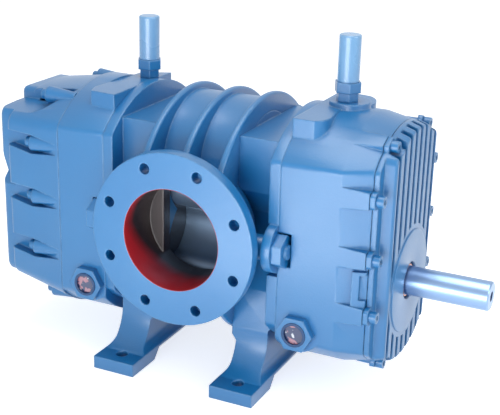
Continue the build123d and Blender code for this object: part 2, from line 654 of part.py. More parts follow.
def sump_ridge():
    """C-shaped ridge on the tapered front, open towards the drive cover."""
    x, low, high = RIDGE
    hollow_x, hollow_low, hollow_high = RIDGE_HOLLOW
    ridge = block(x, HOUSING_DRIVE_END, -FLANGE_HALF, 0, low, high)
    ridge -= block(hollow_x, HOUSING_DRIVE_END + OVER, -FLANGE_HALF - OVER, OVER, hollow_low, hollow_high)
    limit = loft_x(round_outline(FLANGE_R, FLANGE_HALF + RIDGE_PROUD, SUMP_DROP),
                   round_outline(FLANGE_R, COVER_HALF + RIDGE_PROUD, SUMP_DROP),
                   HOUSING_DRIVE_BEND, HOUSING_DRIVE_END)
    return ridge & limit


def drive_housing():
    """Bearing housing and oil sump of the drive end."""
    wide = round_outline(FLANGE_R, FLANGE_HALF, SUMP_DROP)
    narrow = round_outline(COVER_R, COVER_HALF, SUMP_DROP)
    body = prism_x(wide, JOINT_X, HOUSING_DRIVE_BEND)
    body += loft_x(wide, narrow, HOUSING_DRIVE_BEND, HOUSING_DRIVE_END)
    body = fillet(body.edges().filter_by(Axis.Z).filter_by(
        lambda edge: abs(edge.center().X - HOUSING_DRIVE_BEND) < FIT), TAPER_ROUND)
    body = breather_pad(body + sump_boss(1, *DRIVE_GLASS), 1) + sump_ridge()
    for boss in drive_screw_bosses():
        body += boss
    inner = round_outline(COVER_R - 2 * HOUSING_WALL, COVER_HALF - 2 * HOUSING_WALL, SUMP_DROP)
    body -= prism_x(inner, JOINT_X + BULKHEAD, HOUSING_DRIVE_END + OVER)
    body = side_fittings(bearing_bores(body, 1), 1, DRIVE_GLASS, DRIVE_BREATHER)
    deep = HOUSING_DRIVE_END - SCREW_GRIP - SCREW_SPARE
    return cut_all(body, screw_rows(deep, HOUSING_DRIVE_END + OVER, SCREW_R + BOLT_FIT))


# ---------------------------------------------------------------- covers
def gear_pocket(y, z):
    """Room for one gear cover screw: deepest at the screw head, rising to nothing at the joint."""
    head, far = -GEAR_SCREW_HEAD_X, -GEAR_COVER_BODY - 2 * END_ROUND
    near = -HOUSING_GEAR_END - GASKET - POCKET_RUN_OUT
    outer = SCREW_Y - FLANGE_HALF - OVER
    side = make_face(Polyline((far, outer), (far, OVER), (head, POCKET_DEEP), (near, outer), (far, outer)))
    front = make_face(Polyline((far, POCKET_NARROW), (head, POCKET_TOP), (near, POCKET_CLOSE),
                               (near, -POCKET_CLOSE), (head, -POCKET_LOW), (far, -POCKET_NARROW),
                               (far, POCKET_NARROW)))
    room = extrude(side, POCKET_REACH, both=True) & extrude(Plane.XZ * front, POCKET_REACH, both=True)
    if y > 0:
        return mirror(gear_pocket(-y, z), about=Plane.XZ)
    return Pos(0, y, z) * Rot(towards_axis(y, z), 0, 0) * room


def gear_cover_core():
    """Core of the gear cover, which stands out past the raised pads and is notched at its waist."""
    wide = Pos(0, (CORE_TOP + CORE_LOW) / 2) * RectangleRounded(
        2 * CORE_HALF, CORE_TOP - CORE_LOW, CORE_ROUND)
    tall = Pos(0, (CORE_MID_TOP + CORE_MID_LOW) / 2) * RectangleRounded(
        2 * CORE_MID_HALF, CORE_MID_TOP - CORE_MID_LOW, CORE_MID_ROUND)
    core = prism_x(wide + tall, -HOUSING_GEAR_END - GASKET, -GEAR_COVER_END)
    notch = prism_x(make_face(Polyline(*NOTCH, NOTCH[0])), -GEAR_COVER_BODY, -GEAR_COVER_END - OVER)
    return round_end(core - both_faces(notch), -GEAR_COVER_END, END_ROUND)


def gear_cover():
    """Cover over the timing gears, with a pocket and a boss for each screw."""
    joint = -HOUSING_GEAR_END - GASKET
    pads = loft_x(round_outline(FLANGE_R - GEAR_COVER_STEP, FLANGE_HALF, SUMP_DROP),
                  round_outline(FLANGE_R - GEAR_COVER_STEP, FLANGE_HALF, -GEAR_COVER_LIFT),
                  joint, -GEAR_COVER_BODY)
    pads = round_end(pads, -GEAR_COVER_BODY, END_ROUND)
    body = pads + gear_cover_core()
    body -= barrel(GEAR_ROOM_R, GEAR_ROOM_HALF, joint + OVER, -GEAR_COVER_BODY + HOUSING_WALL)
    for y, z in SCREW_SPOTS:
        body -= gear_pocket(y, z)
    for boss in screw_rows(joint, -GEAR_SCREW_HEAD_X, SCREW_BOSS_R):
        body += boss
    return cut_all(body, screw_rows(joint + OVER, -GEAR_SCREW_HEAD_X - OVER, SCREW_R + BOLT_FIT))


def cover_pan():
    """Finned pan of the drive cover, with grooves that run over its top and bottom edges."""
    half = COVER_HALF - PAN_INSET
    pan = loft_x(round_outline(COVER_R, half, SUMP_DROP),
                 round_outline(COVER_R - PAN_DRAFT, half - PAN_DRAFT, SUMP_DROP), COVER_FACE, COVER_TIP)
    pan = round_end(pan, COVER_TIP, PAN_ROUND)
    core = prism_x(round_outline(COVER_R - PAN_DRAFT - FIN_TALL, half - PAN_DRAFT, SUMP_DROP),
                   COVER_FACE - OVER, COVER_TIP - FIN_TALL)
    for k in range(FINS + 1):
        y = (k - FINS / 2) * FIN_PITCH
        groove = block(COVER_FACE, COVER_TIP + OVER, y - FIN_GAP / 2, y + FIN_GAP / 2, 0, 2 * PORT_Z)
        pan -= groove - core
    return pan


def drive_cover():
    """Finned end cover with the round boss of the shaft seal."""
    joint = HOUSING_DRIVE_END + GASKET
    body = prism_x(round_outline(COVER_R, COVER_HALF, SUMP_DROP), joint, COVER_FACE)
    limit = prism_x(round_outline(FLANGE_R, FLANGE_HALF, SUMP_DROP), joint, COVER_FACE)
    for ear in screw_rows(joint, COVER_FACE, SCREW_BOSS_R):
        body += ear & limit
    body += cover_pan()
    body += rod_x(0, DRIVE_Z, BOSS_R, COVER_FACE, COVER_TIP)
    body -= rod_x(0, DRIVE_Z, BOSS_RECESS_R, COVER_TIP - BOSS_RECESS_DEEP, COVER_TIP + OVER)
    body -= rod_x(0, DRIVE_Z, SEAL_R, joint - OVER, COVER_TIP + OVER)
    for spot in screw_rows(COVER_FACE, COVER_TIP + OVER, SCREW_HEAD_R + SPOT_FACE_GAP):
        body -= spot
    return cut_all(body, screw_rows(joint - OVER, COVER_TIP + OVER, SCREW_R + BOLT_FIT))


def gasket(x0, x1, radius, half):
    """Thin gasket between a housing and its cover."""
    outer = prism_x(round_outline(radius, half, SUMP_DROP), x0, x1)
    inner = round_outline(radius - GASKET_WIDE, half - GASKET_WIDE, SUMP_DROP)
    body = outer - prism_x(inner, min(x0, x1) - OVER, max(x0, x1) + OVER)
    return cut_all(body, screw_rows(min(x0, x1) - OVER, max(x0, x1) + OVER, SCREW_R + BOLT_FIT))


# ---------------------------------------------------------------- shafts
def shaft(z, far_end, far_radius):
    """Stepped shaft; far_end is its drive end."""
    body = rod_x(0, z, ROTOR_SEAT_R, -ROTOR_SEAT_END, ROTOR_SEAT_END)
    body += rod_x(0, z, SEAL_SEAT_R, -BEARING_X, BEARING_X)
    body += rod_x(0, z, BEARING_SEAT_R, -BEARING_SHOULDER, BEARING_SHOULDER)
    body += rod_x(0, z, GEAR_SEAT_R, -SHAFT_TAIL, LOCK_NUT_X + NUT_WIDE + OVER)
    body += rod_x(0, z, far_radius, LOCK_NUT_X, far_end)
    return chamfer(body.edges().filter_by(GeomType.CIRCLE).sort_by(Axis.X)[-1], SHAFT_CHAMFER)


def drive_shaft():
    """Drive shaft with the free end and its centre hole."""
    body = shaft(DRIVE_Z, EXTENSION_END, EXTENSION_R)
    body += rod_x(0, DRIVE_Z, SEAL_JOURNAL_R, LOCK_NUT_X, COVER_TIP)
    return body - rod_x(0, DRIVE_Z, CENTRE_BORE_R, EXTENSION_END - CENTRE_BORE_DEEP, EXTENSION_END + OVER)


def bearing(z, sign):
    """Bearing: outer ring, roller cage and inner ring."""
    x0, x1 = sorted((sign * (BEARING_X + RUN), sign * (BEARING_X + BEARING_WIDE)))
    inner_r = BEARING_SEAT_R + FIT
    outer = ring_x(z, BEARING_R, BEARING_R - BEARING_RING, x0, x1)
    cage = ring_x(z, BEARING_R - BEARING_RING, inner_r + BEARING_RING,
                   x0 + CAGE_SET_IN, x1 - CAGE_SET_IN)
    inner = ring_x(z, inner_r + BEARING_RING, inner_r, x0, x1)
    return outer, cage, inner


def retainers():
    """Rings that hold the bearings in their seats."""
    start = BEARING_X + BEARING_WIDE
    return [ring_x(z, RETAINER_R, RETAINER_BORE_R, sign * start, sign * (start + RETAINER_THICK))
            for sign in (-1, 1) for z in SHAFTS]


def labyrinths(sign):
    """Labyrinth rings in the seal tubes of one head plate."""
    outer = SEAL_TUBE_BORE_R - FIT
    return [ring_x(z, outer, SEAL_SEAT_R + RUN, sign * LABYRINTH_X, sign * (LABYRINTH_X + LABYRINTH_WIDE))
            for z in SHAFTS]


def involute(radius, base):
    """Involute function of the pressure angle at this radius."""
    angle = math.acos(min(1.0, base / radius))
    return math.tan(angle) - angle


def gear_outline():
    """Outline of one timing gear with a tooth straight up."""
    module = CENTRES / GEAR_TEETH
    base = PITCH_R * math.cos(PRESSURE_ANGLE)
    root, tip = PITCH_R - GEAR_DEDENDUM * module, PITCH_R + GEAR_ADDENDUM * module
    at_pitch = math.pi / (2 * GEAR_TEETH) - GEAR_BACKLASH / (4 * PITCH_R) + involute(PITCH_R, base)
    points = []
    for tooth in range(GEAR_TEETH):
        centre = math.pi / 2 + 2 * math.pi * tooth / GEAR_TEETH
        flank = [(r, at_pitch - involute(max(r, base), base)) for r in (root, PITCH_R, tip)]
        turn = [(r, centre - a) for r, a in flank] + [(r, centre + a) for r, a in reversed(flank)]
        points += [(r * math.cos(a), r * math.sin(a)) for r, a in turn]
    return make_face(Polyline(*points, close=True))


def timing_gear(z):
    """Timing gear bored for its shaft."""
    body = prism_x(Pos(0, z) * gear_outline(), -GEAR_X - GEAR_WIDE, -GEAR_X)
    return body - rod_x(0, z, GEAR_SEAT_R + FIT, -GEAR_X - GEAR_WIDE - OVER, -GEAR_X + OVER)


def gear_spacer(z):
    """Sleeve between bearing shoulder and timing gear."""
    return ring_x(z, SPACER_R, GEAR_SEAT_R + FIT, -GEAR_X, -BEARING_SHOULDER)


def gear_nut(z):
    """Nut that clamps the timing gear."""
    return ring_x(z, NUT_R, GEAR_SEAT_R + FIT, -GEAR_X - GEAR_WIDE - NUT_WIDE, -GEAR_X - GEAR_WIDE)


def lock_nut(z):
    """Nut on the drive side of a shaft."""
    return ring_x(z, NUT_R, GEAR_SEAT_R + FIT, LOCK_NUT_X, LOCK_NUT_X + NUT_WIDE)


def drive_side_spacer(z):
    """Sleeve between bearing shoulder and lock nut."""
    return ring_x(z, SPACER_R, GEAR_SEAT_R + FIT, BEARING_SHOULDER, LOCK_NUT_X)


def oil_slinger():
    """Sleeve with a disc that throws oil up to the bearings."""
    disc = ring_x(DRIVE_Z, SLINGER_R, GEAR_SEAT_R + FIT, LOCK_NUT_X - SLINGER_THICK, LOCK_NUT_X)
    return disc + drive_side_spacer(DRIVE_Z)


def shaft_seal():
    """Lip seal in the drive cover."""
    return ring_x(DRIVE_Z, SEAL_R - FIT, SLEEVE_R + RUN, HOUSING_DRIVE_END + GASKET + SEAL_SET_IN,
                  COVER_TIP - BOSS_RECESS_DEEP - OVER)


def wear_sleeve():
    """Sleeve on the drive shaft under the lip seal."""
    return ring_x(DRIVE_Z, SLEEVE_R, SEAL_JOURNAL_R + FIT, HOUSING_DRIVE_END, COVER_TIP - OVER)


# ---------------------------------------------------------------- fasteners and fittings
def socket_screw(y, z, seat, sign, long):
    """Socket head screw along X: head on the seat, shank towards -sign."""
    head = rod_x(y, z, SCREW_HEAD_R, seat, seat + sign * SCREW_HEAD_TALL)
    socket = extrude(RegularPolygon(SOCKET_R, 6), SOCKET_DEEP + OVER)
    socket = Pos(seat + sign * (SCREW_HEAD_TALL - SOCKET_DEEP), y, z) * Rot(0, 90 * sign, 0) * socket
    return head - socket + rod_x(y, z, SCREW_R, seat, seat - sign * long)


def gear_cover_screws():
    """Screws of the gear cover."""
    long = GEAR_SCREW_HEAD_X - HOUSING_GEAR_END + SCREW_GRIP
    return [socket_screw(y, z, -GEAR_SCREW_HEAD_X, -1, long) for y, z in SCREW_SPOTS]


def drive_cover_screws():
    """Screws of the drive cover."""
    long = COVER_FACE - HOUSING_DRIVE_END + SCREW_GRIP
    return [socket_screw(y, z, COVER_FACE, 1, long) for y, z in SCREW_SPOTS]


def casing_screws():
    """Long screws that hold the head plates to the casing."""
    seat = JOINT_X - SCREW_HEAD_TALL - HEAD_SUNK
    long = seat - CASING_HALF + TIE_GRIP - SCREW_SPARE
    return [socket_screw(y, z, sign * seat, sign, long) for sign in (-1, 1) for y, z in TIES]


def housing_screws():
    """Screws inside the housings that hold them to the head plates."""
    seat = JOINT_X + BULKHEAD
    long = seat - FLANGE_X - HOUSING_SCREW_STOP - SCREW_SPARE
    return [socket_screw(y, z, sign * seat, sign, long) for sign in (-1, 1) for y, z in HOUSING_SCREWS]


def tie_bolts():
    """Bolts at port height with a hexagon nut outside each head plate lug."""
    bolts = []
    inner, outer = FLANGE_X - LUG_BOSS_LONG + STUD_SHORT, JOINT_X + LUG_NUT_TALL + STUD_OUT
    for sign in (-1, 1):
        for y in (-LUG_Y, LUG_Y):
            shank = rod_x(y, LUG_Z, LUG_BOLT_R, sign * inner, sign * outer)
            nut = extrude(RegularPolygon(LUG_NUT_FLAT / 2, 6, major_radius=False), LUG_NUT_TALL)
            nut = Pos(sign * JOINT_X, y, LUG_Z) * Rot(0, 90 * sign, 0) * nut
            bolts.append(shank + nut)
    return bolts


def breather_parts():
    """Adapters, hexagon nuts and caps of the two oil breathers."""
    adapters, nuts, caps = [], [], []
    for sign, (x, y) in ((-1, GEAR_BREATHER), (1, DRIVE_BREATHER)):
        seat = breather_seat(sign)
        nut_low = seat + BREATHER_ADAPTER_TALL
        nut_top = nut_low + BREATHER_NUT_TALL
        pipe = rod_z(x, y, BREATHER_PIPE_R, seat - BREATHER_PIPE_LONG, seat)
        adapters.append(hex_z(x, y, BREATHER_ADAPTER_FLAT, seat, nut_low) + pipe)
        nuts.append(hex_z(x, y, BREATHER_NUT_FLAT, nut_low, nut_top))
        cap = rod_z(x, y, BREATHER_R, nut_top, nut_top + BREATHER_CAP_TALL)
        caps.append(fillet(cap.edges().filter_by(GeomType.CIRCLE).sort_by(Axis.Z)[-1], CAP_ROUND))
    return adapters, nuts, caps


def sight_glasses():
    """Hexagon bodies and glass lenses of the oil sight glasses."""
    bodies, lenses = [], []
    face = -FLANGE_HALF - GLASS_TALL
    for x, z in (GEAR_GLASS, DRIVE_GLASS):
        body = hex_y(x, z, GLASS_FLAT, -FLANGE_HALF, face)
        body += rod_y(x, z, GLASS_THREAD_R, -FLANGE_HALF, -FLANGE_HALF + GLASS_THREAD_LONG)
        body -= rod_y(x, z, GLASS_R, face - OVER, face + LENS_SUNK + LENS_THICK + LENS_SEAT_DEEP)
        bodies.append(body)
        lenses.append(rod_y(x, z, GLASS_R - FIT, face + LENS_SUNK, face + LENS_SUNK + LENS_THICK))
    return bodies, lenses


def drain_plugs():
    """Oil drain plugs on the back of the housings."""
    plugs = []
    for sign in (-1, 1):
        plug = hex_y(sign * PLUG_X, PLUG_Z, PLUG_FLAT, FLANGE_HALF, FLANGE_HALF + PLUG_TALL)
        thread = rod_y(sign * PLUG_X, PLUG_Z, PLUG_THREAD_R, FLANGE_HALF - PLUG_THREAD_LONG, FLANGE_HALF)
        plugs.append(plug + thread)
    return plugs


# ---------------------------------------------------------------- nodes
def save_castings():
    """Casings, head plates, housings, covers and their gaskets."""
    save("rotor_casing", rotor_casing())
    head = head_plate()
    save("drive_head_plate", head)
    save("gear_head_plate", about_centre(head))
    save("gear_housing", gear_housing())
    save("drive_housing", drive_housing())
    save("gear_cover", gear_cover())
    save("drive_cover", drive_cover())
    save("gear_cover_gasket", gasket(-HOUSING_GEAR_END, -HOUSING_GEAR_END - GASKET,
                                     FLANGE_R - GEAR_GASKET_SET_IN, FLANGE_HALF - GEAR_GASKET_SET_IN))
    save("drive_cover_gasket", gasket(HOUSING_DRIVE_END, HOUSING_DRIVE_END + GASKET,
                                      COVER_R - DRIVE_GASKET_SET_IN, COVER_HALF - DRIVE_GASKET_SET_IN))


def save_rotating():
    """Rotors, shafts, gears and what turns with them."""
    save("drive_rotor", rotor(DRIVE_Z))
    save("driven_rotor", rotor(DRIVEN_Z))
    save("drive_shaft", drive_shaft())
    save("driven_shaft", shaft(DRIVEN_Z, DRIVEN_END, DRIVEN_TAIL_R))
    for name, z in (("drive", DRIVE_Z), ("driven", DRIVEN_Z)):
        save(name + "_timing_gear", timing_gear(z))
        save(name + "_gear_spacer", gear_spacer(z))
        save(name + "_gear_nut", gear_nut(z))
        save(name + "_lock_nut", lock_nut(z))
    save("driven_bearing_spacer", drive_side_spacer(DRIVEN_Z))
    save("oil_slinger", oil_slinger())
    save("shaft_wear_sleeve", wear_sleeve())


def save_fittings():
    """Bearings, seals, fasteners and oil fittings."""
    for name, z in (("drive", DRIVE_Z), ("driven", DRIVEN_Z)):
        save(name + "_shaft_gear_end_bearing", *bearing(z, -1))
        save(name + "_shaft_drive_end_bearing", *bearing(z, 1))
    save("bearing_retainers", *retainers())
    save("gear_end_labyrinth_rings", *labyrinths(-1))
    save("drive_end_labyrinth_rings", *labyrinths(1))
    save("shaft_seal", shaft_seal())
    save("gear_cover_screws", *gear_cover_screws())
    save("drive_cover_screws", *drive_cover_screws())
    save("casing_screws", *casing_screws())
    save("housing_screws", *housing_screws())
    save("tie_bolts", *tie_bolts())
    adapters, nuts, caps = breather_parts()
    save("breather_adapters", *adapters)
    save("breather_nuts", *nuts)
    save("breather_caps", *caps)
    bodies, lenses = sight_glasses()
    save("sight_glass_bodies", *bodies)
    save("sight_glass_lenses", *lenses)
    save("oil_drain_plugs", *drain_plugs())


save_castings()
save_rotating()
save_fittings()
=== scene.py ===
"""Roots vacuum pump: looks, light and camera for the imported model. All sizes are in metres."""
import bmesh
import bpy
import json
import math
from mathutils import Matrix, Vector


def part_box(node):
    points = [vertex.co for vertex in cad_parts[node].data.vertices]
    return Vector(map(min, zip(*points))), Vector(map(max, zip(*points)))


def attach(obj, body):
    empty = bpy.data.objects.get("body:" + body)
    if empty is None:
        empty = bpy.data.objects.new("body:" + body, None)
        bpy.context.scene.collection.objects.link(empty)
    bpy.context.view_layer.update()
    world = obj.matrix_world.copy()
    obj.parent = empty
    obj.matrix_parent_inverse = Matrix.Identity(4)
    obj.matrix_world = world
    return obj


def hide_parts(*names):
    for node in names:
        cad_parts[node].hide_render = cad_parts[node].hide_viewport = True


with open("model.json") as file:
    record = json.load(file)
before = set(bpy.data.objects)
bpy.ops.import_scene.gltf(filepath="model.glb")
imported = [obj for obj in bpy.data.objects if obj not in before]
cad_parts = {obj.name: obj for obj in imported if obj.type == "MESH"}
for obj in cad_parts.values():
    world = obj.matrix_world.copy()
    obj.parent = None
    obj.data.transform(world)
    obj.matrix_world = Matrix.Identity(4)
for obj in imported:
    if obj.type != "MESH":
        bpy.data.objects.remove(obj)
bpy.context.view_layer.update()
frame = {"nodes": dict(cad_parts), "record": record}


def middle_z(node):
    """Height of the middle of a CAD node."""
    low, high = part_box(node)
    return (low.z + high.z) / 2


# ---------------------------------------------------------------- places taken from the frame
PORT_Z = middle_z("rotor_casing")
DRIVE_Z = middle_z("drive_shaft")
DRIVEN_Z = middle_z("driven_shaft")

# ---------------------------------------------------------------- camera
CAMERA_PLACE = Vector((0.8086, -1.6440, 0.9051))
CAMERA_TURN = math.radians(24.98)       # away from the +Y direction, towards -X
CAMERA_DOWN = math.radians(19.60)
CAMERA_ROLL = math.radians(1.56)
LENS_MM = 81.31
SENSOR_MM = 36.0

# ---------------------------------------------------------------- finishes
EDGE_ROUND = 0.004          # radius by which light sees cast edges rounded
# enamels: colour; deep tone, used for random tone and as painted shade in corners; edge colour, partly wear
# and partly painted highlight; grain; roughness
BLUE = ((0.008, 0.180, 0.44), (0.001, 0.12, 0.34), (0.20, 0.44, 0.74), 0.35, 0.36)
CAP_BLUE = ((0.19, 0.42, 0.70), (0.02, 0.16, 0.36), (0.5, 0.7, 0.9), 0.15, 0.26)
PRIMER_RED = (0.46, 0.012, 0.020)
# primer deep inside the port, darkened as painted shade
PRIMER_IN_SHADE = (0.022, 0.014, 0.017)
PRIMER_DEPTH = (0.115, 0.202)       # painted shade at the rotors, red at the flange face
BARE_IRON = (0.035, 0.045, 0.060)
PORT_BORE_R = 0.084
PAINT_REACH = 0.0006                # how far the primer reaches past the bore's wall
CHAMBER_R, CHAMBER_HALF = 0.0992, 0.0746

# ---------------------------------------------------------------- surroundings
FLOOR_WHITE = 0.7                   # light that the floor adds to its own, for the eye only
FLOOR_PALE = 0.93
FLOOR_WIDE, FLOOR_DROP = 14.0, 0.0005
FILL_COLOUR, FILL_STRENGTH = (0.85, 0.92, 1.0, 1.0), 0.42
MIDDLE_OF_PUMP = (0.0, 0.0, PORT_Z)
LAMPS = (                           # name, place, target, width, height, power in W
    ("Top", (0.1, -0.1, 2.2), MIDDLE_OF_PUMP, 1.4, 1.4, 20.0),
    ("Low front", (0.15, -1.9, 0.30), (0.15, 0.0, PORT_Z), 1.4, 0.4, 14.0),
    ("Floor card", (0.16, -0.92, 0.03), (0.16, -0.88, 1.0), 0.95, 0.65, 6.8),
    ("Drive side", (1.9, -0.3, 1.1), MIDDLE_OF_PUMP, 1.0, 1.0, 9.0))

# ---------------------------------------------------------------- gear cover, drawn as cast
COVER_JOINT_X = -0.249
COVER_PAD_X = -0.352        # end of the raised pads
COVER_END_X = -0.380        # end of the core
COVER_HALF = 0.1416
COVER_JOINT = (0.3945, 0.452, 0.098, 0.040)     # heights: shoulder, crown, lower edge, underside
COVER_PAD = (0.3965, 0.4355, 0.117, 0.080)      # the same where the pads end
SHOULDER_SOFT = 0.014
CORE = (0.1246, 0.104, 0.411, 0.022)            # half width, underside, top, corner
MIDDLE = (0.059, 0.088, 0.431, 0.012)
WAIST = ((0.1275, 0.347), (0.106, 0.288), (0.1275, 0.267))
ROOM_R, ROOM_HALF, ROOM_SOFT = 0.1566, 0.0976, 0.06
ROOM_WALL = 0.012
SCREW_Y = 0.131
SCREW_ROWS = (0.169, 0.262, 0.357)
SCREW_HEAD_X = -0.305
TOP_SCREW = (0.080, 0.429)
LOW_SCREW = (0.080, 0.069)
POCKET_JOINT_X, TOP_POCKET_JOINT_X = -0.253, -0.255
POCKET = ((0.020, -0.004), (0.015, -0.018), (0.004, -0.014))    # up and down at its end, head and joint
BOSS_WIDE, BOSS_NARROW = 0.0152, 0.0098
BOSS_JOINT_X = -0.2492
CAST_ROUND = 0.003
PAD_END_SOFT = 0.006
CORE_END_SOFT = 0.010
TOP_POCKET_OUT = (0.155, 0.121, 0.102)          # its outer side at the cover's end, head and joint
TOP_POCKET_FALL = 0.10                          # slope of its floor, as the arch falls outwards
JOINT_CROWN_FLOOR = 0.442                       # height of its floor at the joint
OVERLAP = 0.001             # by which joined bodies run into each other
BEYOND = 0.01               # by which a cutting tool reaches past the surface
TOOL_TOP = 0.52             # height well above the cover

# ---------------------------------------------------------------- turned details
BOSS_R, BOSS_BORE_R, BOSS_PROUD = 0.086, 0.031, 0.002
BOSS_SUNK, BOSS_SOFT = 0.004, 0.0015
LENS_R = 0.0175
RIM_IN, RIM_OUT, RIM_PROUD, RIM_SOFT = 0.0015, 0.003, 0.0028, 0.0009
CAD_EDGE_ROUND = 0.0025


# ---------------------------------------------------------------- materials
def new_material(name):
    """Empty node material with its shader and output."""
    material = bpy.data.materials.new(name)
    material.use_nodes = True
    nodes = material.node_tree.nodes
    nodes.clear()
    shader = nodes.new("ShaderNodeBsdfPrincipled")
    output = nodes.new("ShaderNodeOutputMaterial")
    material.node_tree.links.new(shader.outputs["BSDF"], output.inputs["Surface"])
    return material, shader


def link(material, source, output, target, socket):
    """Joins one node's output to another node's input."""
    material.node_tree.links.new(source.outputs[output], target.inputs[socket])


def noise_node(material, scale, detail):
    """Noise over the object's own coordinates."""
    nodes = material.node_tree.nodes
    place = nodes.new("ShaderNodeTexCoord")
    noise = nodes.new("ShaderNodeTexNoise")
    noise.inputs["Scale"].default_value = scale
    noise.inputs["Detail"].default_value = detail
    link(material, place, "Object", noise, "Vector")
    return noise


def add_grain(material, shader, scale, detail, strength, distance):
    """Fine bump over the whole surface, as cast iron shows through paint."""
    bump = material.node_tree.nodes.new("ShaderNodeBump")
    bump.inputs["Strength"].default_value = strength
    bump.inputs["Distance"].default_value = distance
    link(material, noise_node(material, scale, detail), "Fac", bump, "Height")
    link(material, bump, "Normal", shader, "Normal")
    return bump


def math_node(material, operation, first, first_output, other, other_output):
    """Two values added, multiplied or the like."""
    node = material.node_tree.nodes.new("ShaderNodeMath")
    node.operation = operation
    link(material, first, first_output, node, 0)
    link(material, other, other_output, node, 1)
    return node


def map_node(material, source, output, low, high, to_low, to_high):
    """Stretches one range of a value onto another."""
    node = material.node_tree.nodes.new("ShaderNodeMapRange")
    node.inputs["From Min"].default_value = low
    node.inputs["From Max"].default_value = high
    node.inputs["To Min"].default_value = to_low
    node.inputs["To Max"].default_value = to_high
    link(material, source, output, node, "Value")
    return node


def blend_node(material, factor, output, colour_a, colour_b, result_a=None):
    """Mixes two colours, the first of which may come from an earlier mix."""
    node = material.node_tree.nodes.new("ShaderNodeMix")
    node.data_type = "RGBA"
    node.inputs[6].default_value = (*colour_a, 1.0)
    node.inputs[7].default_value = (*colour_b, 1.0)
    link(material, factor, output, node, 0)
    if result_a is not None:
        link(material, result_a, 2, node, 6)
    return node


def edge_node(material, radius, low, high):
    """One along sharp convex edges, where wear and a painted highlight lighten the enamel, and nought on
    open faces.
    """
    nodes = material.node_tree.nodes
    bevel = nodes.new("ShaderNodeBevel")
    bevel.samples = 6
    bevel.inputs["Radius"].default_value = radius
    face = nodes.new("ShaderNodeNewGeometry")
    dot = nodes.new("ShaderNodeVectorMath")
    dot.operation = "DOT_PRODUCT"
    link(material, bevel, "Normal", dot, 0)
    link(material, face, "Normal", dot, 1)
    return map_node(material, dot, "Value", high, low, 0.0, 1.0), bevel


def near_axis(material, spot, keep, radius):
    """One within radius of a line or plane through spot, along which keep is nought."""
    nodes = material.node_tree.nodes
    place = nodes.new("ShaderNodeTexCoord")
    away = nodes.new("ShaderNodeVectorMath")
    away.operation = "SUBTRACT"
    away.inputs[1].default_value = spot
    link(material, place, "Object", away, 0)
    across = nodes.new("ShaderNodeVectorMath")
    across.operation = "MULTIPLY"
    across.inputs[1].default_value = keep
    link(material, away, "Vector", across, 0)
    length = nodes.new("ShaderNodeVectorMath")
    length.operation = "LENGTH"
    link(material, across, "Vector", length, 0)
    inside = nodes.new("ShaderNodeMath")
    inside.operation = "LESS_THAN"
    inside.inputs[1].default_value = radius
    link(material, length, "Value", inside, 0)
    return inside


def all_of(material, first, *others):
    """One where every mask is one."""
    for other in others:
        first = math_node(material, "MULTIPLY", first, "Value", other, "Value")
    return first


def port_unshaded_mask(material):
    """One at the mouth of a port and along its floor, nought deep inside, where painted shade darkens it.
    """
    nodes = material.node_tree.nodes
    place = nodes.new("ShaderNodeTexCoord")
    parts = nodes.new("ShaderNodeSeparateXYZ")
    link(material, place, "Object", parts, "Vector")
    depth = nodes.new("ShaderNodeMath")
    depth.operation = "ABSOLUTE"
    link(material, parts, "Y", depth, 0)
    mouth = map_node(material, depth, "Value", *PRIMER_DEPTH, -2.0, 1.0)
    mouth.clamp = False
    floor = map_node(material, parts, "Z", PORT_Z + 0.01, PORT_Z - 0.07, 0.0, 1.6)
    both = math_node(material, "ADD", mouth, "Result", floor, "Result")
    both.use_clamp = True
    return both


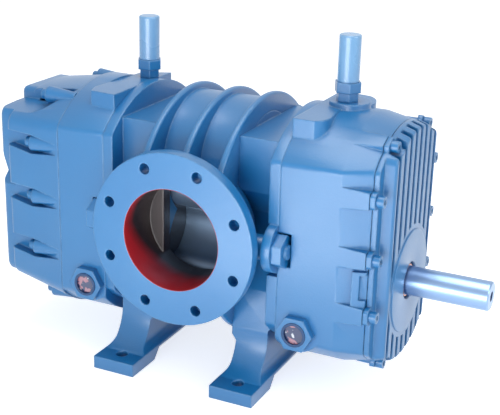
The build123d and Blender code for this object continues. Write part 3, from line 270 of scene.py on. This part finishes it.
def enamel(name, colour, deep_tone_and_shade, edge_wear_and_highlight, grain, rough, primed=False, bare=()):
    """Gloss enamel over cast iron: uneven in tone, with painted shade in its corners and lighter edges,
    partly wear and partly painted highlight.
    """
    material, shader = new_material(name)
    cloud = noise_node(material, 6.0, 4.0)
    tone = map_node(material, cloud, "Fac", 0.3, 0.7, 0.0, 0.35)
    colour_node = blend_node(material, tone, "Result", colour, deep_tone_and_shade)
    # painted shade: darker towards the deep tone in corners, creases and recesses, found by ambient
    # occlusion
    corner = material.node_tree.nodes.new("ShaderNodeAmbientOcclusion")
    corner.samples = 8
    corner.inputs["Distance"].default_value = 0.03
    painted_shade = map_node(material, corner, "AO", 0.75, 0.2, 0.0, 0.85)
    colour_node = blend_node(material, painted_shade, "Result", colour, deep_tone_and_shade, colour_node)
    # lighter edges: partly wear in rubbed patches, partly a painted highlight
    edge, bevel = edge_node(material, EDGE_ROUND, 0.90, 0.995)
    rub = map_node(material, noise_node(material, 60.0, 3.0), "Fac", 0.35, 0.6, 0.05, 0.40)
    worn_and_highlit_edge = math_node(material, "MULTIPLY", edge, "Result", rub, "Result")
    colour_node = blend_node(material, worn_and_highlit_edge, "Value", colour, edge_wear_and_highlight, colour_node)
    for height in bare:         # the rotor chamber, as far as the port lets it be seen
        inside = all_of(material, near_axis(material, (0.0, 0.0, height), (0.0, 1.0, 1.0), CHAMBER_R),
                        near_axis(material, (0.0, 0.0, 0.0), (1.0, 0.0, 0.0), CHAMBER_HALF),
                        near_axis(material, (0.0, 0.0, PORT_Z), (0.0, 0.0, 1.0), PORT_BORE_R))
        colour_node = blend_node(material, inside, "Value", colour, BARE_IRON, colour_node)
    if primed:
        inside = near_axis(material, (0.0, 0.0, PORT_Z), (1.0, 0.0, 1.0), PORT_BORE_R + PAINT_REACH)
        # painted shade: the primer is dark deep inside the port and higher up, red at its mouth and along
        # its floor
        primer_with_painted_shade = blend_node(material, port_unshaded_mask(material), "Value", PRIMER_IN_SHADE, PRIMER_RED)
        colour_node = blend_node(material, inside, "Value", colour, PRIMER_RED, colour_node)
        link(material, primer_with_painted_shade, 2, colour_node, 7)
    link(material, colour_node, 2, shader, "Base Color")
    bump = add_grain(material, shader, 320.0, 3.0, grain, 0.0006)
    link(material, bevel, "Normal", bump, "Normal")
    link(material, map_node(material, cloud, "Fac", 0.3, 0.7, rough - 0.04, rough + 0.06), "Result",
         shader, "Roughness")
    shader.inputs["Specular IOR Level"].default_value = 0.8
    shader.inputs["Coat Weight"].default_value = 0.35
    shader.inputs["Coat Roughness"].default_value = 0.22
    return material


def metal(name, colour, roughness, metallic=1.0):
    """Machined metal with fine grain."""
    material, shader = new_material(name)
    add_grain(material, shader, 400.0, 4.0, 0.05, 0.0005)
    shader.inputs["Base Color"].default_value = (*colour, 1.0)
    shader.inputs["Metallic"].default_value = metallic
    shader.inputs["Roughness"].default_value = roughness
    return material


def plain(name, colour, roughness):
    """Even, non-metallic surface."""
    material, shader = new_material(name)
    add_grain(material, shader, 300.0, 4.0, 0.05, 0.0005)
    shader.inputs["Base Color"].default_value = (*colour, 1.0)
    shader.inputs["Roughness"].default_value = roughness
    return material


def glass(name):
    """Sight glass: dark oil behind it, with broken pink and white glints painted into its colour."""
    material, shader = new_material(name)
    # painted reflections: pink and white glints mixed into the lens colour
    painted_glint = map_node(material, noise_node(material, 95.0, 1.5), "Fac", 0.54, 0.62, 0.0, 1.0)
    lens_and_painted_glints = blend_node(material, painted_glint, "Result", (0.03, 0.05, 0.14), (0.45, 0.22, 0.28))
    painted_spark = map_node(material, noise_node(material, 110.0, 1.0), "Fac", 0.66, 0.72, 0.0, 0.8)
    lens_and_painted_glints = blend_node(material, painted_spark, "Result", (0.0, 0.0, 0.0), (0.85, 0.90, 0.95), lens_and_painted_glints)
    link(material, lens_and_painted_glints, 2, shader, "Base Color")
    shader.inputs["Roughness"].default_value = 0.06
    shader.inputs["Coat Weight"].default_value = 1.0
    return material


def make_materials():
    """One material for each slot of the record, and those of OWN_FINISH and the glass rims."""
    chamber = (DRIVE_Z, DRIVEN_Z)
    return {
        "blue_enamel": enamel("Blue enamel", *BLUE),
        "primed_casing": enamel("Blue enamel over red primer", *BLUE, primed=True, bare=chamber),
        "head_enamel": enamel("Blue enamel and bare inner face", *BLUE, bare=chamber),
        "cap_enamel": enamel("Lighter breather enamel", *CAP_BLUE),
        "rim_enamel": plain("Dark glass rim", (0.012, 0.06, 0.17), 0.25),
        "rotor_iron": metal("Rotor iron", (0.15, 0.23, 0.34), 0.40, 0.6),
        "shaft_steel": metal("Shaft steel", (0.29, 0.43, 0.66), 0.30),
        "machined_steel": metal("Machined steel", (0.48, 0.52, 0.58), 0.30),
        "gasket_rubber": plain("Gasket rubber", (0.03, 0.05, 0.09), 0.6),
        "sight_glass": glass("Sight glass"),
        "copper_sleeve": metal("Copper sleeve", (0.66, 0.33, 0.22), 0.35),
        "labyrinth_aluminium": metal("Labyrinth aluminium", (0.70, 0.72, 0.75), 0.3),
    }


OWN_FINISH = {"rotor_casing": "primed_casing", "gear_head_plate": "head_enamel",
              "drive_head_plate": "head_enamel", "breather_caps": "cap_enamel"}


def dress_nodes(materials):
    """Gives every CAD node its own finish, or else the material of its slot."""
    for part in frame["record"]["subparts"]:
        mesh = frame["nodes"][part["node"]].data
        mesh.materials.clear()
        mesh.materials.append(materials[OWN_FINISH.get(part["node"], part["material_slot"])])


def round_edges(obj, width, least_turn):
    """Rounds the edges of an object that turn by more than least_turn degrees."""
    bevel = obj.modifiers.new("Cast edges", "BEVEL")
    bevel.width = width
    bevel.segments = 3
    bevel.limit_method = "ANGLE"
    bevel.angle_limit = math.radians(least_turn)


def soften_castings(*nodes):
    """Rounds the sharp edges of CAD nodes as castings have them."""
    for node in nodes:
        obj = frame["nodes"][node]
        weld = obj.modifiers.new("Weld", "WELD")
        weld.merge_threshold = 0.00002
        round_edges(obj, CAD_EDGE_ROUND, 35)


# ---------------------------------------------------------------- meshes
def finish_piece(piece, body, material):
    """Smooths a piece and joins it to its body and its material."""
    piece.data.polygons.foreach_set("use_smooth", [True] * len(piece.data.polygons))
    piece.data.set_sharp_from_angle(angle=math.radians(40))
    piece.data.materials.clear()
    piece.data.materials.append(material)
    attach(piece, body)


def new_piece(name, form):
    """Object in the scene from a finished bmesh."""
    bmesh.ops.recalc_face_normals(form, faces=form.faces)
    mesh = bpy.data.meshes.new(name)
    form.to_mesh(mesh)
    form.free()
    piece = bpy.data.objects.new(name, mesh)
    bpy.context.collection.objects.link(piece)
    return piece


def solid(name, *rings):
    """Closed body through rings of as many points."""
    form = bmesh.new()
    levels = [[form.verts.new(point) for point in ring] for ring in rings]
    form.faces.new(levels[0])
    form.faces.new(levels[-1][::-1])
    for near, far in zip(levels, levels[1:]):
        for k in range(len(near)):
            form.faces.new((near[k - 1], near[k], far[k], far[k - 1]))
    return new_piece(name, form)


def bar(name, outline, x0, x1, outline1=None):
    """Body along X with an outline of Y and Z at either end."""
    return solid(name, [(x0, y, z) for y, z in outline], [(x1, y, z) for y, z in outline1 or outline])


def quarter(steps):
    """Falls of a rounded edge towards its face and inwards, as shares of its radius."""
    turns = [0.5 * math.pi * k / steps for k in range(steps + 1)]
    return [(1 - math.sin(turn), 1 - math.cos(turn)) for turn in turns]


def soft_bar(name, shape, x0, x1, soft):
    """Body along X with a rounded edge at x1; shape(share of the way, inset) gives its outline."""
    way = math.copysign(1.0, x1 - x0)
    rings = [[(x0, y, z) for y, z in shape(0.0, 0.0)]]
    for back, inwards in quarter(5):
        x = x1 - way * soft * back
        rings.append([(x, y, z) for y, z in shape((x - x0) / (x1 - x0), soft * inwards)])
    return solid(name, *rings)


def circle(y, z, radius, steps=32):
    """Round outline in Y and Z."""
    turns = [2 * math.pi * k / steps for k in range(steps)]
    return [(y + radius * math.cos(turn), z + radius * math.sin(turn)) for turn in turns]


def soft_corner(corner, before, after, steps=6):
    """Points of a curve from before to after that the corner pulls outwards."""
    points = []
    for k in range(steps + 1):
        t = k / steps
        points.append(tuple((1 - t) ** 2 * b + 2 * t * (1 - t) * c + t ** 2 * a
                            for b, c, a in zip(before, corner, after)))
    return points


def soft_box(half, low, top, soft):
    """Outline of a rectangle with rounded corners, once round from its lower front corner."""
    points = []
    for side, z, inwards in ((-1, low, 1), (-1, top, -1), (1, top, -1), (1, low, 1)):
        ends = [(side * (half - soft), z), (side * half, z + inwards * soft)]
        if side * inwards > 0:
            ends.reverse()
        points += soft_corner((side * half, z), *ends)
    return points


def soft_block(name, half, low, top, soft, end_soft):
    """Block of the gear cover from its joint to its end, rounded along and at the end."""
    def outline(_, inset):
        return soft_box(half - inset, low + inset, top - inset, soft - inset)
    return soft_bar(name, outline, COVER_JOINT_X - OVERLAP, COVER_END_X, end_soft)


def arch(half, edge, crown, side, steps=24):
    """Points of an arch over the whole width, rounded where it meets the upright sides."""
    sag = crown - edge
    radius = (half ** 2 + sag ** 2) / (2 * abs(sag))
    way = math.copysign(1.0, sag)
    begin = math.asin(half / radius) - SHOULDER_SOFT / radius
    turns = [-begin + 2 * begin * k / steps for k in range(steps + 1)]
    bow = [(side * radius * math.sin(turn), crown - way * radius * (1 - math.cos(turn))) for turn in turns]
    down = edge - way * SHOULDER_SOFT
    first = soft_corner((-side * half, edge), (-side * half, down), bow[0])
    last = soft_corner((side * half, edge), bow[-1], (side * half, down))
    return first[:-1] + bow + last[1:]


def cover_outline(share, inset):
    """Outline of the cover's pads, share of the way from the joint to their end."""
    heights = ((1 - share) * a + share * b for a, b in zip(COVER_JOINT, COVER_PAD))
    shoulder, crown, edge, underside = heights
    half = COVER_HALF - inset
    return arch(half, shoulder - inset, crown - inset, 1) + arch(half, edge + inset, underside + inset, -1)


# ---------------------------------------------------------------- gear cover piece
def carve(piece, tools, operation):
    """Cuts the tools from a piece, or joins them to it, and keeps the result as its mesh."""
    for tool in tools:
        step = piece.modifiers.new("Carve", "BOOLEAN")
        step.operation = operation
        step.solver = "EXACT"
        step.object = tool
    view = bpy.context.evaluated_depsgraph_get()
    view.update()
    mesh = bpy.data.meshes.new_from_object(piece.evaluated_get(view))
    piece.modifiers.clear()
    piece.data = mesh
    for tool in tools:
        bpy.data.objects.remove(tool)


def pocket_tool(side, z):
    """Room in the cover's side for one screw: core deep up to the head, then rising to the joint."""
    face, floor = COVER_HALF + BEYOND, CORE[0]
    rows = []
    for x, (up, down), depth in zip((COVER_PAD_X - 2 * BEYOND, SCREW_HEAD_X, POCKET_JOINT_X), POCKET,
                                    (floor, floor - OVERLAP, COVER_HALF)):
        rows.append([(x, side * depth, z + down), (x, side * face, z + down), (x, side * face, z + up),
                     (x, side * depth, z + up)])
    return [solid("Pocket", *rows[:2]), solid("Pocket", *rows[1:])]


def top_pocket_tool(side):
    """Room beside the middle of the cover for a top screw."""
    middle_half, core_top = MIDDLE[0], CORE[2]
    rows = []
    for x, inner, outer, floor in zip((COVER_END_X - BEYOND, SCREW_HEAD_X, TOP_POCKET_JOINT_X),
                                      (middle_half, middle_half, middle_half + 0.004), TOP_POCKET_OUT,
                                      (core_top, core_top + OVERLAP, JOINT_CROWN_FLOOR)):
        rows.append([(x, side * inner, floor), (x, side * outer, floor - (outer - inner) * TOP_POCKET_FALL),
                     (x, side * outer, TOOL_TOP), (x, side * inner, TOOL_TOP)])
    return [solid("Pocket", *rows[:2]), solid("Pocket", *rows[1:])]


def gear_cover_casting(material):
    """Cover over the timing gears: raised pads on a longer core, with a pocket for each screw."""
    piece = soft_bar("gear_cover_casting", cover_outline, COVER_JOINT_X, COVER_PAD_X, PAD_END_SOFT)
    carve(piece, [soft_block("Core", *CORE, CORE_END_SOFT), soft_block("Middle", *MIDDLE, CORE_END_SOFT)],
          "UNION")
    cuts = [bar("Waist", [(side * y, z) for y, z in WAIST], COVER_PAD_X + OVERLAP / 2, COVER_END_X - BEYOND)
            for side in (-1, 1)]
    cuts.append(bar("Room", soft_box(ROOM_HALF, PORT_Z - ROOM_R, PORT_Z + ROOM_R, ROOM_SOFT),
                    COVER_JOINT_X + OVERLAP, COVER_PAD_X + ROOM_WALL))
    bosses = []
    for side in (-1, 1):
        for z in SCREW_ROWS:
            cuts += pocket_tool(side, z)
        cuts += top_pocket_tool(side)
        for y, z in [(SCREW_Y, z) for z in SCREW_ROWS] + [TOP_SCREW, LOW_SCREW]:
            bosses.append(bar("Boss", circle(side * y, z, BOSS_NARROW), BOSS_JOINT_X, SCREW_HEAD_X,
                              circle(side * y, z, BOSS_WIDE)))
    carve(piece, cuts, "DIFFERENCE")
    carve(piece, bosses, "UNION")
    round_edges(piece, CAST_ROUND, 28)
    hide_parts("gear_cover")
    finish_piece(piece, "casing", material)


# ---------------------------------------------------------------- turned details
def turned_ring(name, place, axis, profile, steps=96):
    """Ring turned about an axis through place; the profile gives distances along it and radii."""
    form = bmesh.new()
    turned = Vector(axis).to_track_quat("Z", "Y").to_matrix()
    rings = []
    for k in range(steps):
        turn = 2 * math.pi * k / steps
        rings.append([form.verts.new(Vector(place) + turned @ Vector(
            (radius * math.cos(turn), radius * math.sin(turn), along))) for along, radius in profile])
    for k in range(steps):
        for j in range(len(profile)):
            form.faces.new((rings[k - 1][j - 1], rings[k - 1][j], rings[k][j], rings[k][j - 1]))
    return new_piece(name, form)


def round_profile(inner, outer, low, high, soft):
    """Profile of a flat ring with rounded outer and inner front edges."""
    inside = [(high - soft * back, inner + soft * inwards) for back, inwards in quarter(4)]
    outside = [(high - soft * back, outer - soft * inwards) for inwards, back in quarter(4)]
    return [(low, inner)] + inside + outside + [(low, outer)]


def seal_boss_face(material):
    """Round face of the seal boss, standing a little proud of the fins."""
    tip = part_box("drive_cover")[1].x
    ring = turned_ring("seal_boss_face", (0.0, 0.0, DRIVE_Z), (1, 0, 0),
                       round_profile(BOSS_BORE_R, BOSS_R, tip - BOSS_SUNK, tip + BOSS_PROUD, BOSS_SOFT))
    finish_piece(ring, "casing", material)


def glass_rims(material):
    """Turned rim round each sight glass."""
    low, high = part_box("sight_glass_lenses")
    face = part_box("sight_glass_bodies")[0].y
    for name, x, z in (("gear_glass_rim", low.x + LENS_R, high.z - LENS_R),
                       ("drive_glass_rim", high.x - LENS_R, low.z + LENS_R)):
        rim = turned_ring(name, (x, face + OVERLAP, z), (0, -1, 0),
                          round_profile(LENS_R - RIM_IN, LENS_R + RIM_OUT, 0.0, RIM_PROUD, RIM_SOFT))
        finish_piece(rim, "casing", material)


# ---------------------------------------------------------------- stage
def place_camera():
    """Camera at the photograph's angle."""
    data = bpy.data.cameras.new("Camera")
    data.lens = LENS_MM
    data.sensor_width = SENSOR_MM
    data.clip_end = 50.0
    camera = bpy.data.objects.new("Camera", data)
    bpy.context.collection.objects.link(camera)
    forward = Vector((-math.sin(CAMERA_TURN) * math.cos(CAMERA_DOWN),
                      math.cos(CAMERA_TURN) * math.cos(CAMERA_DOWN), -math.sin(CAMERA_DOWN)))
    right = Vector((math.cos(CAMERA_TURN), math.sin(CAMERA_TURN), 0.0))
    up = right.cross(forward)
    tilted_right = right * math.cos(CAMERA_ROLL) + up * math.sin(CAMERA_ROLL)
    tilted_up = up * math.cos(CAMERA_ROLL) - right * math.sin(CAMERA_ROLL)
    axes = Matrix((tilted_right, tilted_up, -forward)).transposed()
    camera.matrix_world = Matrix.Translation(CAMERA_PLACE) @ axes.to_4x4()
    bpy.context.scene.camera = camera


def area_light(name, place, target, wide, tall, power):
    """White soft box that faces its target."""
    data = bpy.data.lights.new(name, "AREA")
    data.shape = "RECTANGLE"
    data.size = wide
    data.size_y = tall
    data.energy = power
    light = bpy.data.objects.new(name, data)
    bpy.context.collection.objects.link(light)
    light.location = place
    light.rotation_euler = (Vector(target) - Vector(place)).to_track_quat("-Z", "Y").to_euler()


def seen_by_eye(nodes, links):
    """One for rays from the camera, and for those that it sees in metal or glass."""
    path = nodes.new("ShaderNodeLightPath")
    result = path.outputs["Is Camera Ray"]
    for ray in ("Is Glossy Ray", "Is Transmission Ray"):
        either = nodes.new("ShaderNodeMath")
        either.operation = "MAXIMUM"
        links.new(result, either.inputs[0])
        links.new(path.outputs[ray], either.inputs[1])
        result = either.outputs["Value"]
    return result


def set_world():
    """White surroundings for the camera and a softer fill for the object."""
    world = bpy.data.worlds.new("Studio")
    bpy.context.scene.world = world
    world.use_nodes = True
    nodes, links = world.node_tree.nodes, world.node_tree.links
    nodes.clear()
    fill = nodes.new("ShaderNodeBackground")
    fill.inputs["Color"].default_value = FILL_COLOUR
    fill.inputs["Strength"].default_value = FILL_STRENGTH
    white = nodes.new("ShaderNodeBackground")
    white.inputs["Color"].default_value = (1.0, 1.0, 1.0, 1.0)
    white.inputs["Strength"].default_value = 1.0
    mix = nodes.new("ShaderNodeMixShader")
    output = nodes.new("ShaderNodeOutputWorld")
    links.new(seen_by_eye(nodes, links), mix.inputs["Fac"])
    links.new(fill.outputs["Background"], mix.inputs[1])
    links.new(white.outputs["Background"], mix.inputs[2])
    links.new(mix.outputs["Shader"], output.inputs["Surface"])


def lay_floor():
    """Pale floor under the feet that keeps a soft shadow."""
    bpy.ops.mesh.primitive_plane_add(size=FLOOR_WIDE, location=(0.0, 0.0, -FLOOR_DROP))
    floor = bpy.context.object
    floor.name = "Floor"
    material, shader = new_material("Floor")
    shader.inputs["Base Color"].default_value = (FLOOR_PALE, FLOOR_PALE, FLOOR_PALE, 1.0)
    shader.inputs["Roughness"].default_value = 0.9
    nodes, links = material.node_tree.nodes, material.node_tree.links
    white = nodes.new("ShaderNodeEmission")
    white.inputs["Strength"].default_value = FLOOR_WHITE
    none = nodes.new("ShaderNodeEmission")
    none.inputs["Strength"].default_value = 0.0
    mix = nodes.new("ShaderNodeMixShader")
    both = nodes.new("ShaderNodeAddShader")
    links.new(seen_by_eye(nodes, links), mix.inputs["Fac"])
    links.new(none.outputs["Emission"], mix.inputs[1])
    links.new(white.outputs["Emission"], mix.inputs[2])
    links.new(shader.outputs["BSDF"], both.inputs[0])
    links.new(mix.outputs["Shader"], both.inputs[1])
    links.new(both.outputs["Shader"], nodes["Material Output"].inputs["Surface"])
    floor.data.materials.append(material)


# ---------------------------------------------------------------- build
finishes = make_materials()
dress_nodes(finishes)
gear_cover_casting(finishes["blue_enamel"])
seal_boss_face(finishes["blue_enamel"])
glass_rims(finishes["rim_enamel"])
soften_castings("rotor_casing", "gear_head_plate", "drive_head_plate", "gear_housing", "drive_housing",
                "drive_cover")
place_camera()
for lamp in LAMPS:
    area_light(*lamp)
set_world()
lay_floor()
bpy.context.scene.view_settings.view_transform = "Standard"
